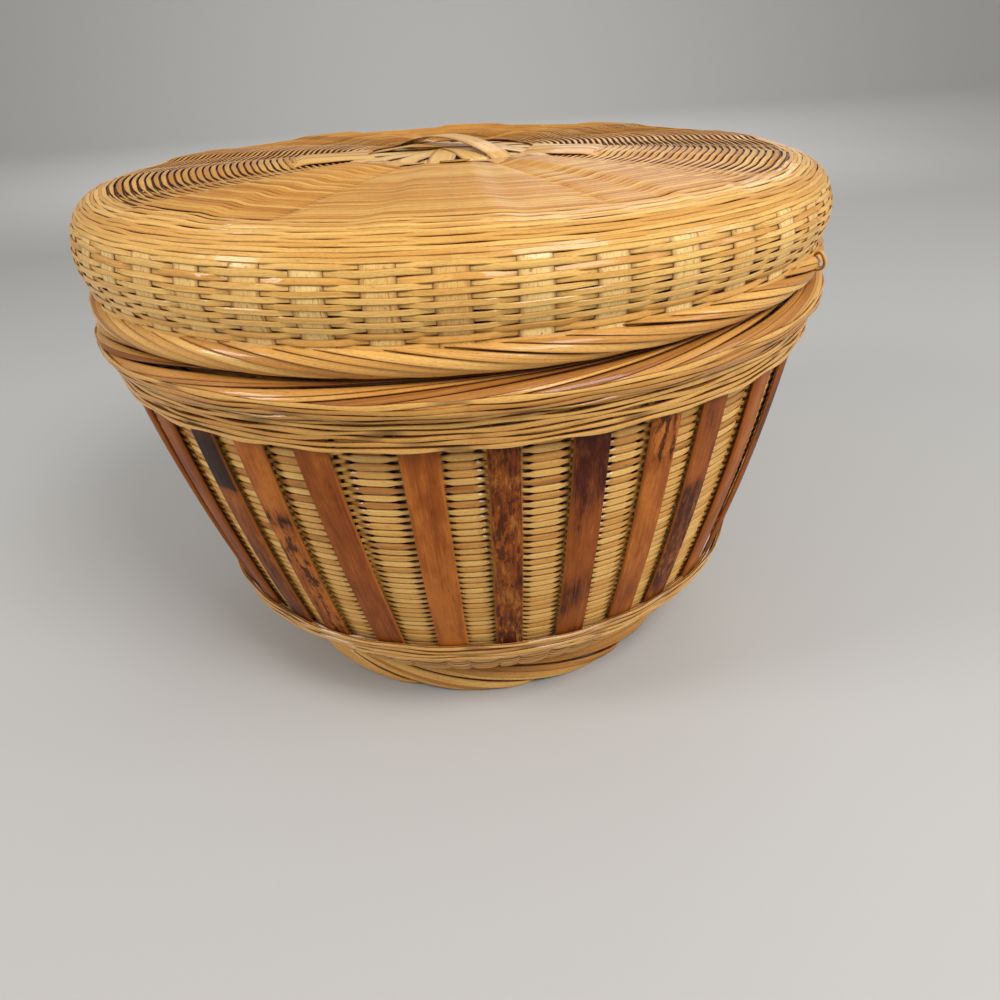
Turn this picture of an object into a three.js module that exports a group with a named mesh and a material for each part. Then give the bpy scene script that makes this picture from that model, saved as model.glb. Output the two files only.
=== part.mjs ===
import * as THREE from 'three';

// Lidded bamboo basket. Millimetres, +Z up, origin on the floor under the middle of the foot.
// -Y is the front. Rings are turned profiles, and the wall's pieces are laid out on the wall's own
// surface: a height up the wall, and a depth measured square into it from the slats' outer face.

// Rings are turned in this many steps, and neighbouring pieces keep this much air between them.
const facets = 48;
const clearance = 0.3;

// Foot
const footRadius = 104;
const footHeight = 17;
const footBorderThickness = 7;
const footHoopThickness = 2.6;
const footHoopLift = 1;
const footRounding = 3.5;
const footChamfer = 1.5;

// Floor
const crossingRadius = 58;
const bowlInset = 6;
const bowlSeamDrop = 2;

// Wall, measured on the slats' outer face between the two bands that hold their ends
const bowlHeight = 39;
const slatShowingLength = 106;
const lowerWallRadius = 135;
const upperWallRadius = 161.5;
const wallBulge = 2.2;
const weaveThickness = 3;

// Slats
const slatCount = 33;
const slatThickness = 2.2;
const slatEdgeThickness = 1.6;
const slatLowerWidth = 11.4;
const slatUpperWidth = 13.3;
const slatTuck = 7;
const slatBedding = 0.4;
// Bearings of the slats across the front, in degrees from -Y towards +X. The rest are evenly spaced.
const frontSlatBearings = [-50, -40, -31, -20.5, -7, 3.5, 15, 26, 35, 47];

// Bands and mouth
const lowerBandHeight = 15;
const bandThickness = 3.2;
const bandEase = 1.5;
const upperBandHeight = 11.5;
const rimBorderHeight = 15.5;
const rimOverhang = 7.5;
const rimRounding = 6;
const rimInnerEase = 2;
const collarThickness = 2.2;
const collarTuck = 25;
const collarRise = 10;

// Lid. Its heights are measured up from its foot, where it rests on the rim.
const lidBorderInset = 1;
const lidBorderHeight = 13;
const lidBorderRounding = 4;
const lidBorderEase = 3;
const lidHoopThickness = 2.4;
const lidRunningClearance = 2;
const lidSideInset = 1.2;
const lidSwell = 2;
const lidWidestRise = 25;
const shoulderStart = { inset: 1.4, rise: 33 };
const shoulderPeak = { inset: 3.6, rise: 45 };
const shoulderEnd = { inset: 20, rise: 47 };
const topSwellRise = 50;
const crownRadius = 38.5;
const crownRise = 50;

// The weft of the lid's top goes over and under the bundled stakes, so that the top swells in low
// ridges which run from the crown out over the shoulder, with a hollow between one and the next.
// Bearings of the hollows across the front, in degrees from -Y towards +X. The rest are evenly spaced.
const ridgeCount = 10;
const frontHollowBearings = [-61, -22.5, 19.5, 49.5];
const ridgeRise = 1.1;
const ridgeStartRun = 25;
const ridgeEndRun = 30;

// Crown splints, which cross at the middle of the lid one on another
const splintCount = 7;
const splintWidth = 11;
const splintThickness = 0.5;
const splintGap = 0.4;
const splintSink = 1.8;
const firstSplintBearing = 5;

const honey = { color: 0xd9a860, roughness: 0.45, metalness: 0 };
const golden = { color: 0xcf9a4e, roughness: 0.45, metalness: 0 };
const paleSplint = { color: 0xe2bd80, roughness: 0.5, metalness: 0 };
const smoked = { color: 0x6b3a1c, roughness: 0.35, metalness: 0 };

// Heights up the basket
const lowerBandTop = footHeight + bowlHeight;
const upperBandFoot = lowerBandTop + slatShowingLength;
const wallTop = upperBandFoot + upperBandHeight;
const rimHeight = wallTop + rimBorderHeight;
const slatFoot = lowerBandTop - slatTuck;
const slatTop = upperBandFoot + slatTuck;

const basket = new THREE.Group();
const lid = new THREE.Group();

function addPiece(owner, name, geometry, finish) {
  const piece = new THREE.Mesh(geometry, new THREE.MeshStandardMaterial(finish));
  piece.name = name;
  owner.add(piece);
  return piece;
}

// Turns a closed outline of radius and height, given anticlockwise, about the upright axis.
function turned(outline) {
  const geometry = new THREE.LatheGeometry([...outline, outline[0]], facets);
  return geometry.rotateX(Math.PI / 2);
}

// A turned solid whose outline starts and ends on the axis.
function turnedDisc(outline) {
  return new THREE.LatheGeometry(outline, facets).rotateX(Math.PI / 2);
}

const point = (radius, height) => new THREE.Vector2(radius, height);

// Bearings in degrees that start with those given for the front and share out the rest evenly.
function sharedOut(front, count) {
  const last = front[front.length - 1];
  const restCount = count - front.length;
  const restPitch = (360 - (last - front[0])) / (restCount + 1);
  return [...front, ...Array.from({ length: restCount }, (_, index) => last + restPitch * (index + 1))];
}

// Values from one to another in equal steps, both ends included.
function steps(from, to, count) {
  return Array.from({ length: count + 1 }, (_, index) => from + ((to - from) * index) / count);
}

// The outline of a shell of a given thickness whose outer side follows a curve, cut square at its ends.
function shellOutline(curve, count, thickness) {
  const shares = steps(0, 1, count);
  const outer = shares.map((share) => curve.getPoint(share));
  const inner = shares.map((share, index) => {
    const along = curve.getTangent(share);
    return point(outer[index].x - along.y * thickness, outer[index].y + along.x * thickness);
  });
  return [...outer, ...inner.reverse()];
}

// Quarter of a rounded corner, from one bearing to another in degrees.
function corner(centre, radius, from, to, count) {
  return steps(from, to, count).map((angle) => {
    const turn = THREE.MathUtils.degToRad(angle);
    return point(centre.x + radius * Math.cos(turn), centre.y + radius * Math.sin(turn));
  });
}

// Slope of the slats' outer face at a height, and a point at a depth behind that face.
function wallSlope(height) {
  const share = (height - lowerBandTop) / (upperBandFoot - lowerBandTop);
  const spread = upperWallRadius - lowerWallRadius;
  return (spread + 4 * wallBulge * (1 - 2 * share)) / (upperBandFoot - lowerBandTop);
}

function wallPoint(height, depth) {
  const share = (height - lowerBandTop) / (upperBandFoot - lowerBandTop);
  const spread = upperWallRadius - lowerWallRadius;
  const radius = lowerWallRadius + spread * share + 4 * wallBulge * share * (1 - share);
  const slope = wallSlope(height);
  const length = Math.hypot(1, slope);
  return point(radius - depth / length, height + (depth * slope) / length);
}

const weaveDepth = slatThickness + slatBedding;
const facetDip = upperWallRadius * (1 - Math.cos(Math.PI / facets));
const slatCornerReach = (slatUpperWidth * slatUpperWidth) / (8 * upperWallRadius);
const bandSeat = -(clearance + facetDip + slatCornerReach);

// Foot: a bent hoop with the rolled border laid round it, cut flat where it stands
const footInner = footRadius - footBorderThickness;
const footTopCorner = point(footRadius - footRounding, footHeight - footRounding);
addPiece(
  basket,
  'foot_border',
  turned([
    point(footInner, 0),
    point(footRadius - footChamfer, 0),
    point(footRadius, footChamfer),
    ...corner(footTopCorner, footRounding, 0, 90, 3),
    point(footInner, footHeight),
  ]),
  golden,
);
const hoopOuter = footInner - clearance;
const hoopInner = hoopOuter - footHoopThickness;
addPiece(
  basket,
  'foot_hoop',
  turned([
    point(hoopInner, footHoopLift),
    point(hoopOuter, footHoopLift),
    point(hoopOuter, footHeight),
    point(hoopInner, footHeight),
  ]),
  golden,
);

// Floor: the crossing splints in the middle, the weave round them
const floorUnderside = footHeight + clearance;
const floorTop = floorUnderside + weaveThickness;
const bowlStartRadius = footRadius - bowlInset;
addPiece(
  basket,
  'base_crossing',
  turnedDisc([
    point(0, floorUnderside),
    point(crossingRadius, floorUnderside),
    point(crossingRadius, floorTop),
    point(0, floorTop),
  ]),
  paleSplint,
);
addPiece(
  basket,
  'base_weave',
  turned([
    point(crossingRadius + clearance, floorUnderside),
    point(bowlStartRadius - clearance, floorUnderside),
    point(bowlStartRadius - clearance, floorTop),
    point(crossingRadius + clearance, floorTop),
  ]),
  honey,
);

// Bowl: the weave turns up from the floor and runs out along the wall
const bowlTop = slatFoot - bowlSeamDrop;
const bowlEnd = wallPoint(bowlTop - clearance / 2, weaveDepth);
const bowlEndSlope = wallSlope(bowlTop - clearance / 2);
const bowlRun = (bowlEnd.y - floorUnderside) / 2;
const bowlCurve = new THREE.CubicBezierCurve(
  point(bowlStartRadius, floorUnderside),
  point(bowlStartRadius + bowlRun, floorUnderside),
  point(bowlEnd.x - bowlRun * bowlEndSlope, bowlEnd.y - bowlRun),
  bowlEnd,
);
addPiece(basket, 'bowl_weave', turned(shellOutline(bowlCurve, 5, weaveThickness)), honey);

// Wall weave, from the bowl up into the rim border
const weaveBack = weaveDepth + weaveThickness;
const wallOuter = steps(bowlTop + clearance / 2, wallTop, 5).map((height) => wallPoint(height, weaveDepth));
const wallInner = steps(wallTop, bowlTop + clearance / 2, 5).map((height) => wallPoint(height, weaveBack));
addPiece(basket, 'wall_weave', turned([...wallOuter, ...wallInner]), honey);

// The outer face of a band, with its two edges eased
function bandFace(low, high) {
  return [
    wallPoint(low, bandEase - bandThickness),
    wallPoint(low + bandEase, -bandThickness),
    wallPoint(high - bandEase, -bandThickness),
    wallPoint(high, bandEase - bandThickness),
  ];
}

// Lower band: it covers the slats' lower ends and closes on the bowl beneath them
const backSeat = weaveDepth - clearance;
addPiece(
  basket,
  'lower_band',
  turned([
    wallPoint(lowerBandTop - lowerBandHeight, backSeat),
    ...bandFace(lowerBandTop - lowerBandHeight, lowerBandTop),
    wallPoint(lowerBandTop, bandSeat),
    wallPoint(slatFoot - clearance, bandSeat),
    wallPoint(slatFoot - clearance, backSeat),
  ]),
  honey,
);

// Upper band: it covers the slats' upper ends and closes on the wall above them
addPiece(
  basket,
  'upper_band',
  turned([
    wallPoint(slatTop + clearance, backSeat),
    wallPoint(slatTop + clearance, bandSeat),
    wallPoint(upperBandFoot, bandSeat),
    ...bandFace(upperBandFoot, wallTop),
    wallPoint(wallTop, backSeat),
  ]),
  honey,
);

// Slats: each is a strip of smoked bamboo, wider at the top and slightly crowned
function slatGeometry(bearing) {
  const across = new THREE.Vector3(Math.cos(bearing), Math.sin(bearing), 0);
  const outward = new THREE.Vector3(Math.sin(bearing), -Math.cos(bearing), 0);
  const stations = steps(slatFoot, slatTop, 4);
  const positions = [];
  // The section, as shares of the width and depths behind the outer face
  const edgeDepth = slatThickness - slatEdgeThickness;
  const section = [
    [-0.5, slatThickness],
    [0.5, slatThickness],
    [0.5, edgeDepth],
    [0.25, edgeDepth / 4],
    [-0.25, edgeDepth / 4],
    [-0.5, edgeDepth],
  ];
  for (const height of stations) {
    const share = (height - lowerBandTop) / (upperBandFoot - lowerBandTop);
    const width = slatLowerWidth + (slatUpperWidth - slatLowerWidth) * share;
    for (const [side, depth] of section) {
      const place = wallPoint(height, depth);
      const at = outward.clone().multiplyScalar(place.x).addScaledVector(across, side * width);
      positions.push(at.x, at.y, place.y);
    }
  }
  const around = section.length;
  const index = [];
  for (let level = 0; level + 1 < stations.length; level += 1) {
    for (let side = 0; side < around; side += 1) {
      const here = level * around + side;
      const next = level * around + ((side + 1) % around);
      index.push(here, here + around, next, next, here + around, next + around);
    }
  }
  const last = (stations.length - 1) * around;
  for (let side = 1; side + 1 < around; side += 1) {
    index.push(0, side, side + 1);
    index.push(last, last + side + 1, last + side);
  }
  const geometry = new THREE.BufferGeometry();
  geometry.setAttribute('position', new THREE.Float32BufferAttribute(positions, 3));
  geometry.setIndex(index);
  return geometry;
}

sharedOut(frontSlatBearings, slatCount).forEach((bearing, index) => {
  const name = `slat_${String(index + 1).padStart(2, '0')}`;
  addPiece(basket, name, slatGeometry(THREE.MathUtils.degToRad(bearing)), smoked);
});

// Collar: a thin bent ring inside the mouth, which the lid comes down over
const collarFoot = rimHeight - collarTuck;
const collarOuter = wallPoint(collarFoot, weaveBack).x - clearance;
const collarInner = collarOuter - collarThickness;
addPiece(
  basket,
  'lid_collar',
  turned([
    point(collarInner, collarFoot),
    point(collarOuter, collarFoot),
    point(collarOuter, rimHeight + collarRise),
    point(collarInner, rimHeight + collarRise),
  ]),
  golden,
);

// Rim border: a rolled bundle over the top of the wall, with a flat crown that the lid rests on
const rimRadius = upperWallRadius + rimOverhang;
const rimInner = collarOuter + clearance;
const rimSeat = wallTop + clearance;
const rimReach = (wallPoint(rimSeat, 0).x - rimInner) * Math.hypot(1, wallSlope(rimSeat));
addPiece(
  basket,
  'rim_border',
  turned([
    wallPoint(rimSeat, rimReach),
    wallPoint(rimSeat, -bandThickness),
    ...corner(point(rimRadius - rimRounding, rimHeight - rimRounding), rimRounding, -10, 90, 3),
    point(rimInner + rimInnerEase, rimHeight),
    point(rimInner, rimHeight - rimInnerEase),
  ]),
  golden,
);

// Lid border and the hoop inside it, resting on the rim border
const lidFoot = rimHeight + clearance;
const lidHoopInner = collarOuter + lidRunningClearance;
const lidHoopOuter = lidHoopInner + lidHoopThickness;
const lidBorderTop = lidFoot + lidBorderHeight;
addPiece(
  lid,
  'lid_hoop',
  turned([
    point(lidHoopInner, lidFoot),
    point(lidHoopOuter, lidFoot),
    point(lidHoopOuter, lidBorderTop),
    point(lidHoopInner, lidBorderTop),
  ]),
  golden,
);
const lidBorderInner = lidHoopOuter + clearance;
const lidBorderRadius = rimRadius - lidBorderInset;
const lidBorderCorner = point(lidBorderRadius - lidBorderRounding, lidFoot + lidBorderRounding);
addPiece(
  lid,
  'lid_border',
  turned([
    point(lidBorderInner, lidFoot),
    ...corner(lidBorderCorner, lidBorderRounding, -90, 0, 2),
    point(lidBorderRadius, lidBorderTop - lidBorderEase),
    point(lidBorderRadius - lidBorderEase / 2, lidBorderTop),
    point(lidBorderInner, lidBorderTop),
  ]),
  golden,
);

// Lid side and shoulder: a nearly upright side that rolls over into the top
const lidRadius = lidBorderRadius + lidSwell;
const hollowBearings = sharedOut(frontHollowBearings, ridgeCount);

// How high the ridges stand at a bearing, from -1 in a hollow to 1 on a ridge
function ridgeWave(bearing) {
  const first = hollowBearings[0];
  const turned = first + THREE.MathUtils.euclideanModulo(bearing - first, 360);
  const last = hollowBearings.findLastIndex((hollow) => hollow <= turned);
  const next = last + 1 < ridgeCount ? hollowBearings[last + 1] : first + 360;
  return -Math.cos((2 * Math.PI * (turned - hollowBearings[last])) / (next - hollowBearings[last]));
}

// Lifts and sinks a turned piece of the lid to the ridges, which run out at the crown and the side.
function ridged(geometry) {
  const places = geometry.attributes.position;
  for (let index = 0; index < places.count; index += 1) {
    const x = places.getX(index);
    const y = places.getY(index);
    const radius = Math.hypot(x, y);
    const bearing = THREE.MathUtils.radToDeg(Math.atan2(x, -y));
    const start = THREE.MathUtils.smoothstep(radius, crownRadius - 1, crownRadius + ridgeStartRun);
    const end = 1 - THREE.MathUtils.smoothstep(radius, lidRadius - ridgeEndRun, lidRadius);
    places.setZ(index, places.getZ(index) + (ridgeRise / 2) * ridgeWave(bearing) * start * end);
  }
  return geometry;
}

const lidPoint = (place) => point(lidRadius - place.inset, lidFoot + place.rise);
const sideBase = point(lidBorderRadius - lidSideInset, lidBorderTop + clearance);
const sideEnd = lidPoint(shoulderStart);
const sideCurve = new THREE.QuadraticBezierCurve(
  sideBase,
  point(2 * lidRadius - (sideBase.x + sideEnd.x) / 2, lidFoot + lidWidestRise),
  sideEnd,
);
const topStart = lidPoint(shoulderEnd);
const shoulderCurve = new THREE.QuadraticBezierCurve(sideEnd, lidPoint(shoulderPeak), topStart);
const sideAndShoulder = new THREE.CurvePath();
sideAndShoulder.add(sideCurve);
sideAndShoulder.add(shoulderCurve);
addPiece(lid, 'lid_side_weave', ridged(turned(shellOutline(sideAndShoulder, 8, weaveThickness))), honey);

// Lid top: a shallow dome from the shoulder in to the open crown
const topSteps = 5;
const crownHeight = lidFoot + crownRise;
const topCurve = new THREE.QuadraticBezierCurve(
  point(topStart.x - 2 * clearance, topStart.y),
  point((topStart.x + crownRadius) / 2, lidFoot + topSwellRise),
  point(crownRadius, crownHeight),
);
addPiece(lid, 'lid_top_weave', ridged(turned(shellOutline(topCurve, topSteps, weaveThickness))), honey);

// Crown: flat splints that cross at the middle, each bowed a little higher than the one beneath
function crownSplintGeometry(level) {
  const innerEdge = crownRadius * Math.cos(Math.PI / facets) - clearance;
  const halfLength = Math.sqrt(innerEdge * innerEdge - (splintWidth * splintWidth) / 4);
  const endHeight = crownHeight - splintSink;
  const rise = level * (splintThickness + splintGap);
  const bow = (along) => endHeight + rise * (1 - (along / halfLength) ** 6);
  const side = new THREE.Shape();
  const stations = steps(-halfLength, halfLength, 10);
  stations.forEach((along, index) => {
    if (index === 0) side.moveTo(along, bow(along));
    else side.lineTo(along, bow(along));
  });
  stations.reverse().forEach((along) => side.lineTo(along, bow(along) + splintThickness));
  const geometry = new THREE.ExtrudeGeometry(side, { depth: splintWidth, bevelEnabled: false });
  return geometry.translate(0, 0, -splintWidth / 2).rotateX(Math.PI / 2);
}

for (let level = 0; level < splintCount; level += 1) {
  const splint = addPiece(lid, `crown_splint_${level + 1}`, crownSplintGeometry(level), paleSplint);
  splint.rotation.z = THREE.MathUtils.degToRad(firstSplintBearing + (180 * level) / splintCount);
}

const group = new THREE.Group();
group.add(basket, lid);

export default group;
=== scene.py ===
import math

import bmesh
import bpy
import numpy as np
from mathutils import Matrix, Vector


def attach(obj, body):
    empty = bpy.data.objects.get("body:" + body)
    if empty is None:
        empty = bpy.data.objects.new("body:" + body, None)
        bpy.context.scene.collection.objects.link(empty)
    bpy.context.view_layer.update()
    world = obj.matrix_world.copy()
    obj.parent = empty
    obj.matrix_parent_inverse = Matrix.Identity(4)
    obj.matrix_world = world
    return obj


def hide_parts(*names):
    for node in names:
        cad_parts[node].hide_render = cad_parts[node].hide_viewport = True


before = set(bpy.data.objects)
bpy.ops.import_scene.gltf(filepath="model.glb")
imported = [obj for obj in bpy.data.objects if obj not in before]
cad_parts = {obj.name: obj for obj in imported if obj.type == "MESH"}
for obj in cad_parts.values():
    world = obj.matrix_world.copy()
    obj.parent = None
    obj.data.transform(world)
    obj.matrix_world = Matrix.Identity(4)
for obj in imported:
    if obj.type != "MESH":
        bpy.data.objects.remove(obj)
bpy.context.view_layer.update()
scene = bpy.context.scene


# Camera: it stands in front of the basket and above it, looks down on the lid, and leans a
# little to one side. The bearing is measured from straight back, towards +X.
camera_place = Vector((0, -0.41497, 0.28353))
camera_bearing = math.radians(1.631)
camera_look_down = math.radians(29.394)
camera_lean = math.radians(-3.902)
camera_lens_mm = 29.71

camera = bpy.data.objects.new("camera", bpy.data.cameras.new("camera"))
camera.data.lens = camera_lens_mm
camera.data.clip_start = 0.01
camera.matrix_world = (
    Matrix.Translation(camera_place)
    @ Matrix.Rotation(-camera_bearing, 4, "Z")
    @ Matrix.Rotation(math.pi / 2 - camera_look_down, 4, "X")
    @ Matrix.Rotation(camera_lean, 4, "Z")
)
scene.collection.objects.link(camera)
scene.camera = camera


# Floor and lamps: a plain pale sweep that runs level under the basket and curves up behind it,
# one broad soft lamp over the front right, weaker ones at both sides and low behind, one more for
# the sweep alone, and a pale sky that looks like the far floor to the camera.
floor_half_width = 7.0
floor_front = -9.0
floor_back = 3.0
sweep_radius = 1.5
backdrop_rise = 3.0
floor_grey = (0.485, 0.475, 0.455, 1)
floor_roughness = 0.9

floor_mesh = bmesh.new()
front_left = floor_mesh.verts.new((-floor_half_width, floor_front, 0))
front_right = floor_mesh.verts.new((floor_half_width, floor_front, 0))
floor_edge = floor_mesh.edges.new((front_left, front_right))


def pull_floor(edges, move):
    """Draws the sweep's last edge on to a new place, and gives that edge back."""
    drawn = bmesh.ops.extrude_edge_only(floor_mesh, edges=edges)["geom"]
    ends = [part for part in drawn if isinstance(part, bmesh.types.BMVert)]
    bmesh.ops.translate(floor_mesh, verts=ends, vec=move)
    edges_drawn = [part for part in drawn if isinstance(part, bmesh.types.BMEdge)]
    return [edge for edge in edges_drawn if set(edge.verts) == set(ends)]


level_end = pull_floor([floor_edge], Vector((0, floor_back - floor_front, 0)))
turned_up = bmesh.ops.spin(
    floor_mesh,
    geom=level_end + list(level_end[0].verts),
    cent=(0, floor_back, sweep_radius),
    axis=(1, 0, 0),
    angle=math.pi / 2,
    steps=24,
)["geom_last"]
upright_end = [part for part in turned_up if isinstance(part, bmesh.types.BMEdge)]
pull_floor(upright_end, Vector((0, 0, backdrop_rise)))
bmesh.ops.recalc_face_normals(floor_mesh, faces=floor_mesh.faces[:])
sweep = bpy.data.meshes.new("floor_sweep")
floor_mesh.to_mesh(sweep)
floor_mesh.free()
sweep.shade_smooth()
floor = bpy.data.objects.new("floor_sweep", sweep)
scene.collection.objects.link(floor)
floor_paint = bpy.data.materials.new("floor_paint")
floor_paint.use_nodes = True
floor_shader = floor_paint.node_tree.nodes["Principled BSDF"]
floor_shader.inputs["Base Color"].default_value = floor_grey
floor_shader.inputs["Roughness"].default_value = floor_roughness
sweep.materials.append(floor_paint)


def add_lamp(name, place, target, size, power):
    """A square soft lamp that faces a target. Places and size are in metres, power in watts."""
    lamp = bpy.data.objects.new(name, bpy.data.lights.new(name, "AREA"))
    lamp.data.size = size
    lamp.data.energy = power
    lamp.location = place
    lamp.rotation_mode = "QUATERNION"
    lamp.rotation_quaternion = (Vector(target) - Vector(place)).to_track_quat("-Z", "Y")
    scene.collection.objects.link(lamp)


add_lamp("lamp_front_right", (0.6, -0.9, 1.25), (0, 0, 0.15), 0.6, 17)
add_lamp("lamp_left", (-1.2, -0.45, 0.95), (0, 0, 0.15), 0.4, 8)
add_lamp("lamp_right", (1.25, -0.35, 0.8), (0, 0, 0.18), 0.4, 3)
add_lamp("lamp_back", (0.55, 1.5, 1.0), (0, 0, 0.2), 0.8, 3.5)
add_lamp("lamp_on_sweep", (0, 1.7, 1.5), (0, 4, 0.5), 1.5, 30)

sky_light = 0.45
sky_seen = 0.25
sky = bpy.data.worlds.new("pale_sky")
sky.use_nodes = True
sky_nodes = sky.node_tree.nodes
sky_nodes["Background"].inputs["Color"].default_value = (1, 1, 1, 1)
sky_ray = sky_nodes.new("ShaderNodeLightPath")
sky_strength = sky_nodes.new("ShaderNodeMath")
sky_strength.operation = "MULTIPLY_ADD"
sky_strength.inputs[1].default_value = sky_seen - sky_light
sky_strength.inputs[2].default_value = sky_light
sky.node_tree.links.new(sky_ray.outputs["Is Camera Ray"], sky_strength.inputs[0])
sky.node_tree.links.new(sky_strength.outputs[0], sky_nodes["Background"].inputs["Strength"])
scene.world = sky
scene.view_settings.view_transform = "Standard"


# Foot: strips of split bamboo rolled slantwise round a bent hoop, so that each one shows on the
# outside as it runs down to the right. The basket stands on their lowest turns.
# From here on every size is in millimetres.
mm = 0.001
full_turn = 2 * math.pi
rack_radius = 4
rack_step = 4


class Strips:
    """Like strips, ready to be laid. One is spun as a plain bar and set side by side with its
    likes on a rack. For each point of them: its strip's number, its share of the way along, and
    its place across (-1 to 1, edge to edge) and out (-1 to 1, back to face)."""

    def __init__(self, count, stations, corners=6, closed=False):
        self.count = count
        bar = bmesh.new()
        stand = Matrix.Translation((rack_radius, 0, 0)) @ Matrix.Rotation(math.pi / 2, 4, "X")
        bmesh.ops.create_circle(bar, cap_ends=not closed, segments=corners, radius=1, matrix=stand)
        sweep_angle = full_turn if closed else 1.0
        bmesh.ops.spin(
            bar,
            geom=bar.verts[:] + bar.edges[:] + bar.faces[:],
            cent=(0, 0, 0),
            axis=(0, 0, 1),
            angle=sweep_angle,
            steps=stations,
            use_merge=closed,
        )
        bmesh.ops.recalc_face_normals(bar, faces=bar.faces[:])
        one = bpy.data.meshes.new("strip")
        bar.to_mesh(one)
        bar.free()
        rack = bpy.data.objects.new("rack", one)
        scene.collection.objects.link(rack)
        side_by_side = rack.modifiers.new("side by side", "ARRAY")
        side_by_side.count = count
        side_by_side.use_relative_offset = False
        side_by_side.use_constant_offset = True
        side_by_side.constant_offset_displace = (0, 0, rack_step)
        bpy.context.view_layer.update()
        shown = rack.evaluated_get(bpy.context.evaluated_depsgraph_get())
        self.mesh = bpy.data.meshes.new_from_object(shown)
        bpy.data.objects.remove(rack)
        bpy.data.meshes.remove(one)
        at = np.empty(len(self.mesh.vertices) * 3, np.float32)
        self.mesh.vertices.foreach_get("co", at)
        x, y, z = at.reshape(-1, 3).astype(float).T
        self.strip = np.round(z / rack_step).astype(int)
        station = np.round(np.arctan2(y, x) * stations / sweep_angle)
        self.along = (station % stations if closed else station) / stations
        self.across = z - rack_step * self.strip
        self.out = np.hypot(x, y) - rack_radius
        self.out = self.out / np.abs(self.out).max()

    def squared(self, power):
        """Brings the section nearer to a flat strip: the lower the power, the squarer."""
        self.across = np.sign(self.across) * np.abs(self.across) ** power
        self.out = np.sign(self.out) * np.abs(self.out) ** power
        return self

    def shades(self, seed, palest, darkest):
        """A tone for each strip, drawn by lot."""
        return np.random.default_rng(seed).uniform(palest, darkest, self.count)[self.strip]

    def laid(self, name, places, length, tone, painted_shade, finish, crisp=40):
        """The piece, with its points at these places. Its grain runs along it, tone tells one
        strip's shade from the next, and the value after tone is painted shade, 1 where it dips
        behind its neighbours. Edges that turn more than crisp degrees stay sharp."""
        mesh = self.mesh
        mesh.name = name
        mesh.vertices.foreach_set("co", (places * mm).astype(np.float32).ravel())
        grain = (self.along * length * mm, self.across, tone + 0 * self.along)
        carry(mesh, "grain", "FLOAT_VECTOR", np.stack(grain, axis=1))
        carry(mesh, "painted_shade", "FLOAT", painted_shade + 0 * self.along)
        mesh.update()
        if inside_out(mesh):
            mesh.flip_normals()
        mesh.shade_smooth()
        mesh.set_sharp_from_angle(angle=math.radians(crisp))
        mesh.materials.append(finish.material)
        piece = bpy.data.objects.new(name, mesh)
        scene.collection.objects.link(piece)
        return piece


def carry(mesh, name, kind, values):
    """Keeps a value for each point of a mesh, for its finish to read."""
    field = "vector" if kind == "FLOAT_VECTOR" else "value"
    layer = mesh.attributes.new(name, kind, "POINT")
    layer.data.foreach_set(field, values.astype(np.float32).ravel())


def inside_out(mesh):
    """True for a closed mesh whose faces look inwards."""
    mesh.calc_loop_triangles()
    corners = np.empty(len(mesh.loop_triangles) * 3, np.int32)
    mesh.loop_triangles.foreach_get("vertices", corners)
    at = np.empty(len(mesh.vertices) * 3, np.float32)
    mesh.vertices.foreach_get("co", at)
    a, b, c = at.reshape(-1, 3).astype(float)[corners.reshape(-1, 3).T]
    return np.einsum("ij,ij->", a, np.cross(b, c)) < 0


def places_round(bearing, radius, height, side=0):
    """Points from a bearing in radians, measured from the front towards +X. side is how far
    they stand square off that bearing."""
    x = radius * np.sin(bearing) + side * np.cos(bearing)
    y = side * np.sin(bearing) - radius * np.cos(bearing)
    return np.stack((x, y, height + 0 * bearing), axis=1)


class Outline:
    """The outer side of a turned piece, from its foot up: points of radius and height."""

    def __init__(self, radius, height):
        self.radius = np.asarray(radius, float)
        self.height = np.asarray(height, float)
        step = np.hypot(np.diff(self.radius), np.diff(self.height))
        self.distance = np.concatenate(([0], np.cumsum(step)))
        self.length = self.distance[-1]
        self.radius_slope = np.gradient(self.radius, self.distance)
        self.height_slope = np.gradient(self.height, self.distance)

    def at(self, distance, depth):
        """Radius and height at a distance along the outline and a depth square behind it."""
        over = distance - np.clip(distance, 0, self.length)
        out_r = np.interp(distance, self.distance, self.height_slope)
        out_h = -np.interp(distance, self.distance, self.radius_slope)
        radius = np.interp(distance, self.distance, self.radius) - depth * out_r - over * out_h
        height = np.interp(distance, self.distance, self.height) - depth * out_h + over * out_r
        return radius, height


def oval(centre_radius, centre_height, half_width, half_height, from_angle, to_angle, power=1):
    """The outline of a rolled border: part of an oval, between two angles in degrees. A power
    under 1 makes it squarer."""
    angle = np.radians(np.linspace(from_angle, to_angle, 60))
    out = np.sign(np.cos(angle)) * np.abs(np.cos(angle)) ** power
    up = np.sign(np.sin(angle)) * np.abs(np.sin(angle)) ** power
    return Outline(centre_radius + half_width * out, centre_height + half_height * up)


def ripple(seed, strip, turn, waves, amount):
    """A gentle unevenness: a few waves along each strip, set differently on each."""
    draw = np.random.default_rng(seed)
    count = int(strip.max()) + 1
    total = 0
    for wave in waves:
        start = draw.uniform(0, full_turn, count)
        strength = draw.uniform(0.3, 1, count)
        total = total + strength[strip] * np.sin(wave * turn + start[strip])
    return amount * total / math.sqrt(len(waves))


def smooth(value, start, end):
    """0 before start, 1 after end, and an easy turn between."""
    share = np.clip((value - start) / (end - start), 0, 1)
    return share * share * (3 - 2 * share)


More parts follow.
